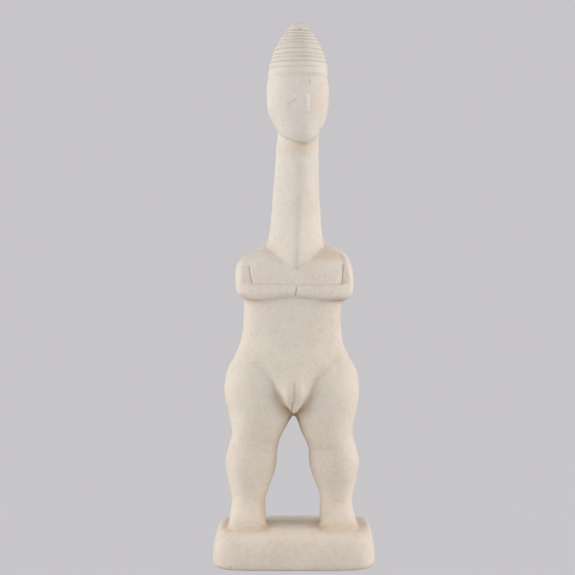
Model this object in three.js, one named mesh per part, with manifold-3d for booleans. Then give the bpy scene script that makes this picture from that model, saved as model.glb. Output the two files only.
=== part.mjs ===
// Carved stone figurine: a standing woman with folded arms and a ringed conical cap, on the block
// left under her feet. One solid. Units are millimetres, +Z is up, she faces -Y, and the origin is
// the centre of the underside.
import * as THREE from "three";
import { mergeVertices } from "three/addons/utils/BufferGeometryUtils.js";
import Module from "manifold-3d";

const STONE_COLOUR = 0xd8cbb8;
const STONE_ROUGHNESS = 0.78;

// Every body below is a stack of stations. A station gives, at one height, how far the section
// reaches to her right (left), to her left (right), the line across it where it stands most proud
// (crest), how far it reaches forwards (front) and backwards (back), and how square its front and
// back halves are (1 is a diamond, 2 an ellipse, more is boxier).
const FIELDS = ["height", "left", "right", "crest", "front", "back", "frontSquare", "backSquare"];

const CAP = [
  [396.4, -19.5, 26.1, 4.4, -20.2, 20.6, 2.1, 2.1],
  [397.4, -20.2, 26.9, 4.4, -21.2, 21.6, 2.1, 2.1],
  [399.0, -20.3, 27.2, 4.4, -21.9, 22.0, 2.1, 2.1],
  [403.0, -20.0, 27.2, 4.2, -21.9, 21.6, 2.1, 2.1],
  [411.0, -18.3, 25.7, 4.1, -20.4, 20.4, 2.1, 2.1],
  [418.0, -15.5, 23.0, 4.0, -18.0, 18.4, 2.1, 2.1],
  [424.2, -12.4, 20.1, 4.0, -15.0, 15.6, 2.0, 2.0],
  [430.6, -7.8, 16.4, 4.1, -11.4, 11.8, 2.0, 2.0],
  [434.4, -4.6, 13.0, 4.1, -8.3, 8.6, 2.0, 2.0],
  [437.4, -2.6, 10.1, 3.9, -5.9, 6.2, 2.0, 2.0],
  [439.4, -0.6, 7.4, 3.6, -3.8, 4.0, 2.0, 2.0],
  [440.4, 1.8, 5.0, 3.4, -1.4, 1.6, 2.0, 2.0],
];
const CAP_GROOVES = [403.1, 407.5, 410.9, 414.0, 418.0, 420.9, 422.9, 425.6, 428.3, 430.9, 433.6];
const CAP_TIP_HEIGHTS = [436.0, 438.2, 439.6, 440.4];
const CAP_GROOVE_DEPTH = 0.75;
const CAP_GROOVE_HALF_WIDTH = 0.6;

const HEAD = [
  [341.2, 4.1, 10.5, 7.6, -13.6, -8.0, 2.0, 2.0],
  [342.4, -0.2, 13.3, 7.4, -15.6, -2.0, 2.0, 2.0],
  [344.6, -5.2, 16.4, 7.0, -17.2, 4.0, 2.0, 2.0],
  [348.0, -10.0, 19.5, 6.8, -18.8, 9.6, 2.0, 2.0],
  [351.5, -12.8, 20.7, 6.6, -19.8, 13.0, 2.0, 2.0],
  [358.0, -16.9, 24.3, 6.5, -21.2, 16.8, 2.0, 2.0],
  [365.0, -20.3, 26.6, 6.4, -22.2, 19.4, 2.05, 2.0],
  [374.0, -22.0, 28.0, 6.2, -22.7, 21.2, 2.1, 2.0],
  [384.0, -22.2, 28.3, 5.8, -22.4, 21.8, 2.1, 2.0],
  [391.0, -21.6, 27.6, 5.2, -21.6, 21.6, 2.1, 2.0],
  [396.6, -20.5, 26.9, 4.6, -20.7, 21.0, 2.1, 2.1],
  [402.0, -18.8, 25.5, 4.4, -19.0, 20.0, 2.1, 2.1],
];

const NECK = [
  [234.0, -18.0, 21.8, 2.2, -13.0, 10.0, 1.3, 2.2],
  [240.0, -20.6, 24.5, 2.2, -17.4, 11.0, 1.2, 2.2],
  [244.0, -21.6, 25.3, 2.3, -19.2, 11.8, 1.18, 2.2],
  [248.5, -22.4, 25.0, 2.4, -19.9, 12.4, 1.18, 2.2],
  [262.0, -21.0, 23.9, 2.6, -18.3, 13.4, 1.25, 2.2],
  [273.6, -19.3, 22.2, 3.0, -16.8, 13.6, 1.32, 2.2],
  [286.6, -18.1, 21.6, 3.6, -15.6, 13.6, 1.4, 2.2],
  [299.6, -17.1, 20.9, 4.4, -14.6, 13.4, 1.48, 2.2],
  [318.0, -15.4, 20.4, 5.2, -13.6, 13.2, 1.55, 2.2],
  [338.6, -14.3, 20.1, 5.4, -13.4, 13.2, 1.65, 2.2],
  [351.0, -12.9, 20.0, 5.4, -13.4, 13.6, 1.7, 2.2],
  [362.0, -14.0, 20.0, 5.4, -13.4, 13.6, 1.8, 2.2],
];

const TRUNK = [
  [124.2, -1.4, 1.8, 0.2, -19.5, 10.0, 2.0, 2.0],
  [126.4, -4.4, 5.2, 0.2, -22.8, 16.0, 2.2, 2.0],
  [131.0, -8.8, 9.8, 0.2, -24.6, 19.0, 2.4, 2.0],
  [139.0, -15.4, 16.0, 0.2, -25.6, 20.5, 2.5, 2.0],
  [151.5, -26.2, 25.2, -0.2, -24.9, 21.2, 2.6, 2.1],
  [158.0, -33.5, 32.8, -0.4, -23.9, 21.2, 2.6, 2.2],
  [164.0, -42.8, 42.0, -0.6, -22.8, 20.9, 2.6, 2.2],
  [171.0, -46.6, 43.3, -0.8, -21.3, 20.0, 2.5, 2.3],
  [179.0, -44.1, 40.2, -0.8, -19.9, 18.8, 2.2, 2.4],
  [190.0, -41.7, 38.6, -0.8, -18.6, 17.2, 2.2, 2.4],
  [202.0, -41.0, 38.2, -0.6, -17.8, 16.4, 2.2, 2.4],
  [211.0, -40.6, 39.0, -0.2, -17.7, 16.8, 2.3, 2.5],
  [216.5, -40.5, 41.2, 0.1, -17.9, 17.4, 2.7, 2.6],
  [222.0, -43.9, 45.3, 0.4, -18.2, 18.0, 2.9, 2.7],
  [229.0, -46.1, 47.4, 0.8, -18.4, 18.8, 3.0, 2.7],
  [236.0, -46.2, 47.2, 0.8, -17.9, 18.8, 3.0, 2.6],
  [242.0, -45.5, 45.9, 0.8, -16.9, 18.6, 3.0, 2.6],
  [247.6, -42.3, 43.9, 0.8, -14.6, 18.0, 2.9, 2.5],
  [251.0, -38.3, 42.3, 1.0, -12.0, 17.2, 2.8, 2.5],
  [254.2, -33.7, 39.4, 1.2, -9.2, 16.2, 2.6, 2.4],
  [257.4, -28.6, 34.9, 1.6, -6.2, 15.0, 2.4, 2.3],
  [260.8, -23.0, 27.9, 2.0, -3.0, 13.4, 2.2, 2.2],
  [264.0, -19.7, 23.7, 2.4, 0.6, 10.0, 2.0, 2.0],
  [266.5, -16.4, 20.0, 2.4, 3.4, 6.0, 2.0, 2.0],
];

const RIGHT_UPPER_ARM = [
  [215.2, -39.8, -34.6, -38.2, -6.0, 5.0, 2.0, 2.0],
  [217.2, -43.1, -33.4, -39.0, -10.6, 8.6, 2.1, 2.0],
  [221.5, -46.5, -33.0, -40.0, -13.6, 11.4, 2.2, 2.0],
  [229.0, -47.3, -34.0, -40.8, -14.4, 12.8, 2.2, 2.0],
  [238.0, -47.2, -35.0, -40.6, -13.2, 12.6, 2.1, 2.0],
  [244.3, -45.9, -35.0, -40.0, -11.4, 12.0, 2.0, 2.0],
  [248.0, -42.1, -35.0, -38.4, -8.4, 10.0, 2.0, 2.0],
  [250.4, -38.3, -34.0, -36.4, -5.0, 8.0, 2.0, 2.0],
];
const LEFT_UPPER_ARM = [
  [214.8, 36.4, 42.0, 39.4, -6.0, 5.0, 2.0, 2.0],
  [217.4, 36.4, 46.4, 41.4, -10.6, 8.6, 2.1, 2.0],
  [221.5, 37.0, 47.7, 42.6, -13.4, 11.4, 2.2, 2.0],
  [231.0, 38.4, 48.6, 44.0, -14.0, 12.8, 2.2, 2.0],
  [239.0, 39.0, 47.4, 43.4, -12.8, 12.6, 2.1, 2.0],
  [246.0, 39.0, 45.4, 42.4, -10.4, 12.0, 2.0, 2.0],
  [250.4, 38.0, 42.1, 41.0, -7.4, 10.0, 2.0, 2.0],
  [252.4, 37.0, 39.6, 38.4, -4.0, 8.0, 2.0, 2.0],
];

// The folded forearms are one band round the front of the trunk.
const FOREARMS = [
  [215.2, -38.0, 40.4, 0.4, -17.0, 0.0, 2.6, 2.5],
  [216.2, -40.1, 42.6, 0.4, -18.9, 2.0, 2.7, 2.5],
  [218.0, -42.6, 45.2, 0.5, -20.2, 4.0, 2.8, 2.5],
  [221.0, -44.9, 47.1, 0.6, -20.8, 5.0, 2.9, 2.5],
  [225.5, -45.7, 47.5, 0.7, -20.4, 5.0, 2.9, 2.5],
  [228.2, -45.1, 46.7, 0.8, -19.5, 4.0, 2.9, 2.5],
  [229.4, -43.3, 44.8, 0.8, -18.2, 2.0, 2.9, 2.5],
];

const RIGHT_LEG = [
  [24.0, -53.0, -22.5, -38.0, -28.0, 17.0, 3.3, 2.3],
  [30.6, -53.0, -22.5, -38.0, -27.9, 17.0, 3.3, 2.3],
  [33.4, -52.9, -22.6, -38.0, -27.2, 16.9, 2.9, 2.3],
  [35.8, -52.7, -22.7, -38.0, -25.4, 16.7, 2.4, 2.3],
  [38.2, -52.5, -22.9, -37.9, -22.0, 16.5, 2.2, 2.3],
  [41.5, -51.9, -23.2, -37.6, -18.2, 16.2, 2.2, 2.3],
  [46.0, -51.2, -23.4, -37.4, -15.6, 15.6, 2.1, 2.3],
  [51.0, -50.6, -23.6, -37.3, -14.2, 15.2, 2.1, 2.2],
  [57.5, -51.7, -21.6, -37.0, -14.4, 16.2, 2.1, 2.2],
  [64.5, -53.5, -19.2, -36.2, -15.2, 17.8, 2.1, 2.1],
  [73.5, -55.1, -15.9, -35.2, -16.8, 20.2, 2.1, 2.0],
  [82.0, -56.0, -14.1, -34.4, -17.6, 21.2, 2.1, 2.0],
  [91.0, -54.3, -13.5, -33.4, -18.0, 20.0, 2.1, 2.0],
  [98.5, -52.5, -12.2, -32.0, -18.6, 18.0, 2.1, 2.0],
  [106.0, -50.7, -9.2, -30.4, -19.4, 17.4, 2.1, 2.0],
  [112.5, -51.3, -5.6, -29.2, -20.2, 18.8, 2.1, 2.0],
  [119.0, -52.8, -2.4, -28.6, -21.0, 21.4, 2.1, 2.1],
  [125.0, -54.0, -0.8, -28.4, -21.7, 23.4, 2.1, 2.1],
  [132.0, -55.7, 1.4, -28.4, -22.3, 24.8, 2.1, 2.1],
  [141.0, -56.8, 2.0, -28.4, -22.6, 25.4, 2.1, 2.1],
  [150.0, -56.0, 1.6, -28.0, -22.2, 24.4, 2.1, 2.1],
  [160.0, -53.5, 0.0, -27.8, -20.8, 21.6, 2.1, 2.1],
  [168.0, -49.1, -3.0, -27.6, -18.6, 18.4, 2.1, 2.1],
  [176.0, -42.5, -8.0, -27.0, -15.2, 15.0, 2.1, 2.1],
  [184.0, -36.3, -16.0, -26.4, -10.0, 10.6, 2.1, 2.1],
  [190.0, -30.5, -20.0, -25.8, -4.0, 5.6, 2.1, 2.1],
];
const LEFT_LEG = [
  [24.0, 21.2, 51.8, 39.6, -30.2, 17.0, 3.3, 2.3],
  [30.0, 21.2, 51.8, 39.6, -30.0, 17.0, 3.3, 2.3],
  [32.6, 21.4, 51.7, 39.4, -29.2, 16.9, 2.9, 2.3],
  [35.0, 21.6, 51.1, 39.0, -27.0, 16.7, 2.4, 2.3],
  [37.6, 21.5, 50.3, 38.4, -22.9, 16.6, 2.2, 2.3],
  [41.5, 21.4, 49.1, 37.6, -18.2, 16.2, 2.2, 2.3],
  [46.0, 21.3, 48.2, 36.8, -15.6, 15.6, 2.1, 2.3],
  [51.0, 21.6, 47.7, 36.4, -14.2, 15.2, 2.1, 2.2],
  [57.5, 20.9, 48.6, 36.4, -14.4, 16.2, 2.1, 2.2],
  [64.5, 18.0, 50.6, 35.8, -15.2, 17.8, 2.1, 2.1],
  [73.5, 14.5, 52.5, 35.2, -16.8, 20.2, 2.1, 2.0],
  [82.5, 12.6, 53.8, 34.6, -17.6, 21.2, 2.1, 2.0],
  [91.0, 12.4, 51.8, 33.6, -18.0, 20.0, 2.1, 2.0],
  [98.5, 10.4, 50.1, 31.8, -18.6, 18.0, 2.1, 2.0],
  [107.0, 6.3, 48.0, 29.6, -19.4, 17.4, 2.1, 2.0],
  [112.5, 4.4, 48.7, 28.6, -20.2, 18.8, 2.1, 2.0],
  [119.0, 2.3, 50.2, 27.6, -21.0, 21.4, 2.1, 2.1],
  [125.0, 0.5, 51.3, 27.2, -21.7, 23.4, 2.1, 2.1],
  [132.0, -1.8, 52.5, 26.8, -22.3, 24.8, 2.1, 2.1],
  [141.0, -2.6, 53.5, 26.6, -22.6, 25.4, 2.1, 2.1],
  [150.0, -2.2, 52.9, 26.2, -22.2, 24.4, 2.1, 2.1],
  [160.0, -0.6, 50.3, 26.0, -20.8, 21.6, 2.1, 2.1],
  [168.0, 2.4, 45.5, 25.8, -18.6, 18.4, 2.1, 2.1],
  [176.0, 7.4, 39.1, 25.2, -15.2, 15.0, 2.1, 2.1],
  [184.0, 15.4, 33.8, 24.6, -10.0, 10.6, 2.1, 2.1],
  [190.0, 19.4, 28.3, 24.4, -4.0, 5.6, 2.1, 2.1],
];

const BLOCK = [
  [0.0, -62.4, 62.4, 0.0, -38.0, 38.0, 4.8, 6.5],
  [1.4, -64.6, 64.6, 0.0, -39.4, 39.4, 4.8, 6.5],
  [5.0, -66.0, 66.0, 0.0, -40.0, 40.0, 4.8, 6.5],
  [11.0, -65.7, 65.7, 0.0, -39.9, 39.9, 4.8, 6.5],
  [18.0, -64.8, 64.8, 0.0, -39.1, 39.5, 4.8, 6.5],
  [22.5, -63.7, 64.2, 0.0, -38.0, 39.1, 4.8, 6.5],
  [26.0, -62.5, 63.3, 0.0, -36.0, 38.6, 4.8, 6.5],
  [28.6, -61.0, 62.3, 0.0, -33.2, 38.1, 4.8, 6.5],
  [30.2, -59.2, 60.9, 0.0, -29.6, 37.4, 4.8, 6.5],
  [31.0, -56.4, 58.6, 0.0, -23.0, 35.6, 4.8, 6.5],
];

// The lower edge of the forearms rises this much in the middle, and sags this far out on each side.
const FOREARM_SAG = 2.4;
const FOREARM_SAG_AT = 27;

// The nose is a thin low ridge on the otherwise blank face.
const NOSE = { x: 10.9, top: 380.2, bottom: 366.6, halfWidth: 1.1, proud: 1.1, setBack: 0.9, root: -18.0 };
// Each step up the nose: share of its length, share of its width, share of how proud it stands.
const NOSE_TAPER = [
  [-0.1, 0.2, 0],
  [0.1, 1, 0.8],
  [0.5, 1, 1],
  [0.9, 0.8, 0.8],
  [1.1, 0.2, 0],
];
const NOSE_CREST = 0.35;
// The line between the two hands, cut from this far in front of them.
const HANDS_LINE = { xTop: 2.0, xBottom: 0.9, top: 228.6, bottom: 219.2, halfWidth: 0.7, depth: 1.0 };
const CUT_CLEARANCE = 2;

// Points around each body, and the greatest height between two of its rings.
const AROUND = { cap: 30, head: 36, neck: 28, trunk: 36, upperArm: 18, forearms: 40, leg: 24, block: 44 };
const STEP = { coarse: 14, fine: 9 };
// A section never closes up beyond this, and points nearer than the gap are one point.
const LEAST_REACH = 0.3;
const MERGE_GAP = 1e-5;

const wasm = await Module();
wasm.setup();

// Smooth value at one height through the stations, without overshooting them.
function between(stations, column, height) {
  const last = stations.length - 1;
  if (height <= stations[0][0]) return stations[0][column];
  if (height >= stations[last][0]) return stations[last][column];
  let i = 0;
  while (stations[i + 1][0] < height) i += 1;
  const gap = (k) => stations[k + 1][0] - stations[k][0];
  const rise = (k) => (stations[k + 1][column] - stations[k][column]) / gap(k);
  const slopeAt = (k) => {
    if (k === 0) return rise(0);
    if (k === last) return rise(last - 1);
    const before = rise(k - 1);
    const after = rise(k);
    if (before * after <= 0) return 0;
    const wb = 2 * gap(k) + gap(k - 1);
    const wa = gap(k) + 2 * gap(k - 1);
    return (wb + wa) / (wb / before + wa / after);
  };
  const span = gap(i);
  const t = (height - stations[i][0]) / span;
  const a = stations[i][column];
  const b = stations[i + 1][column];
  const hermiteStart = (1 + 2 * t) * (1 - t) * (1 - t);
  const hermiteEnd = t * t * (3 - 2 * t);
  const slopes = span * t * (1 - t) * ((1 - t) * slopeAt(i) - t * slopeAt(i + 1));
  return a * hermiteStart + b * hermiteEnd + slopes;
}

// The named sizes of a body's section at one height.
function sectionAt(stations, height) {
  const section = {};
  FIELDS.forEach((name, column) => {
    section[name] = column === 0 ? height : between(stations, column, height);
  });
  return section;
}

// Point on a section's edge at a turn of 0 to 1, counter-clockwise seen from above.
function edgePoint(section, turn, inset) {
  const angle = 2 * Math.PI * turn;
  const cosine = Math.cos(angle);
  const sine = Math.sin(angle);
  const acrossReach = cosine < 0 ? section.crest - section.left : section.right - section.crest;
  const midDepth = (section.front + section.back) / 2;
  const depthReach = sine < 0 ? midDepth - section.front : section.back - midDepth;
  const across = Math.max(acrossReach - inset, LEAST_REACH);
  const deep = Math.max(depthReach - inset, LEAST_REACH);
  const square = sine < 0 ? section.frontSquare : section.backSquare;
  const size = Math.pow(Math.abs(cosine), square) + Math.pow(Math.abs(sine), square);
  const scale = Math.pow(size, -1 / square);
  return [section.crest + across * cosine * scale, midDepth + deep * sine * scale];
}

// Closed solid from rings of equal point count, each ring a list of [x, y, z].
function solidFromRings(rings) {
  const count = rings[0].length;
  const positions = rings.flat(2);
  const index = [];
  for (let level = 0; level < rings.length - 1; level += 1) {
    for (let i = 0; i < count; i += 1) {
      const next = (i + 1) % count;
      const a = level * count + i;
      const b = level * count + next;
      index.push(a, b, b + count, a, b + count, a + count);
    }
  }
  for (const [level, upward] of [[0, false], [rings.length - 1, true]]) {
    const ring = rings[level];
    const middle = [0, 1, 2].map((k) => ring.reduce((sum, p) => sum + p[k], 0) / count);
    const centre = positions.length / 3;
    positions.push(...middle);
    for (let i = 0; i < count; i += 1) {
      const a = level * count + i;
      const b = level * count + ((i + 1) % count);
      if (upward) index.push(a, b, centre);
      else index.push(b, a, centre);
    }
  }
  return toSolid(positions, index);
}

// A solid from loose triangles, with the points they share merged.
function toSolid(positions, index) {
  const geometry = new THREE.BufferGeometry();
  geometry.setAttribute("position", new THREE.Float32BufferAttribute(positions, 3));
  geometry.setIndex(index);
  const merged = mergeVertices(geometry, MERGE_GAP);
  const mesh = new wasm.Mesh({
    numProp: 3,
    vertProperties: new Float32Array(merged.attributes.position.array),
    triVerts: new Uint32Array(merged.index.array),
  });
  return new wasm.Manifold(mesh);
}

// A body through its stations. The inset narrows a section and the lift raises its points.
function loft(stations, heights, count, insetAt = () => 0, liftAt = () => 0) {
  const rings = heights.map((height) => {
    const section = sectionAt(stations, height);
    const inset = insetAt(height);
    const ring = [];
    for (let i = 0; i < count; i += 1) {
      const [x, y] = edgePoint(section, i / count, inset);
      ring.push([x, y, height + liftAt(x, height)]);
    }
    return ring;
  });
  return solidFromRings(rings);
}

// Heights at every station and at even steps of about the given size between them.
function heightsOf(stations, step) {
  const heights = [stations[0][0]];
  for (let k = 1; k < stations.length; k += 1) {
    const from = stations[k - 1][0];
    const to = stations[k][0];
    const parts = Math.max(1, Math.round((to - from) / step));
    for (let part = 1; part <= parts; part += 1) heights.push(from + ((to - from) * part) / parts);
  }
  return heights;
}

// Heights up the cap: both lips and the bottom of every groove, and a few more at its ends.
function capHeights() {
  const heights = [CAP[0][0], CAP[1][0], CAP[2][0]];
  for (const groove of CAP_GROOVES) {
    heights.push(groove - CAP_GROOVE_HALF_WIDTH, groove, groove + CAP_GROOVE_HALF_WIDTH);
  }
  heights.push(...CAP_TIP_HEIGHTS);
  return heights;
}

// How far the cap's surface is cut in at a height.
function grooveInset(height) {
  const atBottom = CAP_GROOVES.some((groove) => Math.abs(groove - height) < 1e-6);
  return atBottom ? CAP_GROOVE_DEPTH : 0;
}

// The lower edge of the forearms sags under each arm and rises between the hands.
function forearmLift(x, height) {
  const bottom = FOREARMS[0][0];
  const top = FOREARMS[FOREARMS.length - 1][0];
  const outward = Math.min(Math.abs(x) / FOREARM_SAG_AT, 1);
  const rise = FOREARM_SAG * Math.cos((outward * Math.PI) / 2) ** 2;
  return (rise * (top - height)) / (top - bottom);
}

// A thin four-sided wedge standing up the front, tapered to nothing at both ends.
function uprightRidge({ x, top, bottom, halfWidth, proud, root }, faceFront) {
  const rings = NOSE_TAPER.map(([share, wide, high]) => {
    const height = bottom + (top - bottom) * share;
    const front = faceFront(height) - proud * high;
    const half = halfWidth * wide;
    return [
      [x - half, root, height],
      [x - half * NOSE_CREST, front, height],
      [x + half * NOSE_CREST, front, height],
      [x + half, root, height],
    ];
  });
  return solidFromRings(rings);
}

// A three-sided wedge that cuts the line between the hands.
function handsCut({ xTop, xBottom, top, bottom, halfWidth, depth }, faceFront) {
  const rings = [bottom, (top + bottom) / 2, top].map((height, i) => {
    const x = xBottom + ((xTop - xBottom) * i) / 2;
    const front = faceFront(height);
    return [
      [x - halfWidth, front - CUT_CLEARANCE, height],
      [x + halfWidth, front - CUT_CLEARANCE, height],
      [x, front + depth, height],
    ];
  });
  return solidFromRings(rings);
}

// Where a body's front stands at a height.
const frontOf = (stations) => (height) => sectionAt(stations, height).front;

const cap = loft(CAP, capHeights(), AROUND.cap, grooveInset);
const head = loft(HEAD, heightsOf(HEAD, STEP.coarse), AROUND.head);
const neck = loft(NECK, heightsOf(NECK, STEP.coarse), AROUND.neck);
const trunk = loft(TRUNK, heightsOf(TRUNK, STEP.fine), AROUND.trunk);
const rightUpperArm = loft(RIGHT_UPPER_ARM, heightsOf(RIGHT_UPPER_ARM, STEP.fine), AROUND.upperArm);
const leftUpperArm = loft(LEFT_UPPER_ARM, heightsOf(LEFT_UPPER_ARM, STEP.fine), AROUND.upperArm);
const forearms = loft(FOREARMS, heightsOf(FOREARMS, STEP.fine), AROUND.forearms, () => 0, forearmLift);
const rightLeg = loft(RIGHT_LEG, heightsOf(RIGHT_LEG, STEP.fine), AROUND.leg);
const leftLeg = loft(LEFT_LEG, heightsOf(LEFT_LEG, STEP.fine), AROUND.leg);
const block = loft(BLOCK, heightsOf(BLOCK, STEP.coarse), AROUND.block);
const nose = uprightRidge(NOSE, (height) => frontOf(HEAD)(height) + NOSE.setBack);

const forearmsParted = forearms.subtract(handsCut(HANDS_LINE, frontOf(FOREARMS)));
const upperBody = cap.add(head).add(neck).add(trunk).add(nose);
const withArms = upperBody.add(rightUpperArm).add(leftUpperArm).add(forearmsParted);
const figure = withArms.add(rightLeg).add(leftLeg).add(block);

function toGeometry(solid) {
  const mesh = solid.getMesh();
  const geometry = new THREE.BufferGeometry();
  geometry.setAttribute("position", new THREE.Float32BufferAttribute(mesh.vertProperties, 3));
  geometry.setIndex(Array.from(mesh.triVerts));
  geometry.computeVertexNormals();
  return geometry;
}

const stone = new THREE.MeshStandardMaterial({
  color: STONE_COLOUR,
  roughness: STONE_ROUGHNESS,
  metalness: 0,
});
const figurine = new THREE.Mesh(toGeometry(figure), stone);
figurine.name = "figurine";

const group = new THREE.Group();
group.name = "cycladic_figurine";
group.add(figurine);

export default group;
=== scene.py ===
import math

import bmesh
import bpy
import numpy as np
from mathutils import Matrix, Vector
from mathutils.bvhtree import BVHTree


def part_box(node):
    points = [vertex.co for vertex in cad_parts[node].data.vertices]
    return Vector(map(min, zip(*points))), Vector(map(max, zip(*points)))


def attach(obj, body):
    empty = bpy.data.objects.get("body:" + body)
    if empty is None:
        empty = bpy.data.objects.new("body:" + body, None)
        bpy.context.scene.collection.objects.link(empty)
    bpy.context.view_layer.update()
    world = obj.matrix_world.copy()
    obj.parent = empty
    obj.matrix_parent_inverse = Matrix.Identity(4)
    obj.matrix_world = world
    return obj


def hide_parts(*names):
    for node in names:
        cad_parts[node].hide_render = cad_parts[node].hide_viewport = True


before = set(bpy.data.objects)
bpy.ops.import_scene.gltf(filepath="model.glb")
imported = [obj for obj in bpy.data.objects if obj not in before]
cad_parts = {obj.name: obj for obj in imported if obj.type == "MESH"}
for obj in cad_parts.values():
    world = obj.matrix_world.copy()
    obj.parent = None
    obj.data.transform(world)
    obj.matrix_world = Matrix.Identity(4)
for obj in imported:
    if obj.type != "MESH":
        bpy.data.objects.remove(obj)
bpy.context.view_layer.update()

# A carved stone figurine: a standing woman with folded arms and a ringed conical cap, on the block
# left under her feet. The whole is one piece of pale, fine-grained limestone. She faces -Y.

bl_info = {
    "name": "Carved Stone Figurine",
    "version": (1, 0, 0),
    "blender": (4, 5, 0),
    "location": "3D View > Sidebar > Figurine",
    "description": "Carves a standing stone figurine on its block and lights it on a plain stage",
    "category": "Add Mesh",
}

FIGURE_LOW, FIGURE_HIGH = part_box("figurine")
CARVED_HEIGHT = 440.4  # the tables below are in millimetres of a figure this tall
MM = (FIGURE_HIGH[2] - FIGURE_LOW[2]) / CARVED_HEIGHT

# Each body is a stack of stations from bottom to top. A station gives its height, how far the
# section reaches to her right (left) and her left (right), the line across it where it stands most
# proud (crest), its reach forwards (front) and backwards (back), and how square its front and back
# halves are (1 is a diamond, 2 an ellipse, more is boxier).
CAP = (
    (396.4, -19.5, 26.1, 4.4, -20.2, 20.6, 2.1, 2.1),
    (397.4, -20.2, 26.9, 4.4, -21.2, 21.6, 2.1, 2.1),
    (399.0, -20.3, 27.2, 4.4, -21.9, 22.0, 2.1, 2.1),
    (403.0, -20.0, 27.2, 4.2, -21.9, 21.6, 2.1, 2.1),
    (411.0, -18.3, 25.7, 4.1, -20.4, 20.4, 2.1, 2.1),
    (418.0, -15.5, 23.0, 4.0, -18.0, 18.4, 2.1, 2.1),
    (424.2, -12.4, 20.1, 4.0, -15.0, 15.6, 2.0, 2.0),
    (430.6, -7.8, 16.4, 4.1, -11.4, 11.8, 2.0, 2.0),
    (434.4, -4.6, 13.0, 4.1, -8.3, 8.6, 2.0, 2.0),
    (437.4, -2.6, 10.1, 3.9, -5.9, 6.2, 2.0, 2.0),
    (439.4, -0.6, 7.4, 3.6, -3.8, 4.0, 2.0, 2.0),
    (440.4, 1.8, 5.0, 3.4, -1.4, 1.6, 2.0, 2.0),
)
HEAD = (
    (341.2, 4.1, 10.5, 7.6, -13.6, -8.0, 2.0, 2.0),
    (342.4, -0.2, 13.3, 7.4, -15.6, -2.0, 2.0, 2.0),
    (344.6, -5.2, 16.4, 7.0, -17.2, 4.0, 2.0, 2.0),
    (348.0, -10.0, 19.5, 6.8, -18.8, 9.6, 2.0, 2.0),
    (351.5, -12.8, 20.7, 6.6, -19.8, 13.0, 2.0, 2.0),
    (358.0, -16.9, 24.3, 6.5, -21.2, 16.8, 2.0, 2.0),
    (365.0, -20.3, 26.6, 6.4, -22.2, 19.4, 2.05, 2.0),
    (374.0, -22.0, 28.0, 6.2, -22.7, 21.2, 2.1, 2.0),
    (384.0, -22.2, 28.3, 5.8, -22.4, 21.8, 2.1, 2.0),
    (391.0, -21.6, 27.6, 5.2, -21.6, 21.6, 2.1, 2.0),
    (396.6, -20.5, 26.9, 4.6, -20.7, 21.0, 2.1, 2.1),
    (402.0, -18.8, 25.5, 4.4, -19.0, 20.0, 2.1, 2.1),
)
NECK = (
    (234.0, -18.0, 21.8, 2.2, -13.0, 10.0, 1.3, 2.2),
    (240.0, -20.6, 24.5, 2.2, -17.4, 11.0, 1.2, 2.2),
    (244.0, -21.6, 25.3, 2.3, -19.2, 11.8, 1.18, 2.2),
    (248.5, -22.4, 25.0, 2.4, -19.9, 12.4, 1.18, 2.2),
    (262.0, -21.0, 23.9, 2.6, -18.3, 13.4, 1.25, 2.2),
    (273.6, -19.3, 22.2, 3.0, -16.8, 13.6, 1.32, 2.2),
    (286.6, -18.1, 21.6, 3.6, -15.6, 13.6, 1.4, 2.2),
    (299.6, -17.1, 20.9, 4.4, -14.6, 13.4, 1.48, 2.2),
    (318.0, -15.4, 20.4, 5.2, -13.6, 13.2, 1.55, 2.2),
    (338.6, -14.3, 20.1, 5.4, -13.4, 13.2, 1.65, 2.2),
    (351.0, -12.9, 20.0, 5.4, -13.4, 13.6, 1.7, 2.2),
    (362.0, -14.0, 20.0, 5.4, -13.4, 13.6, 1.8, 2.2),
)
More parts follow.
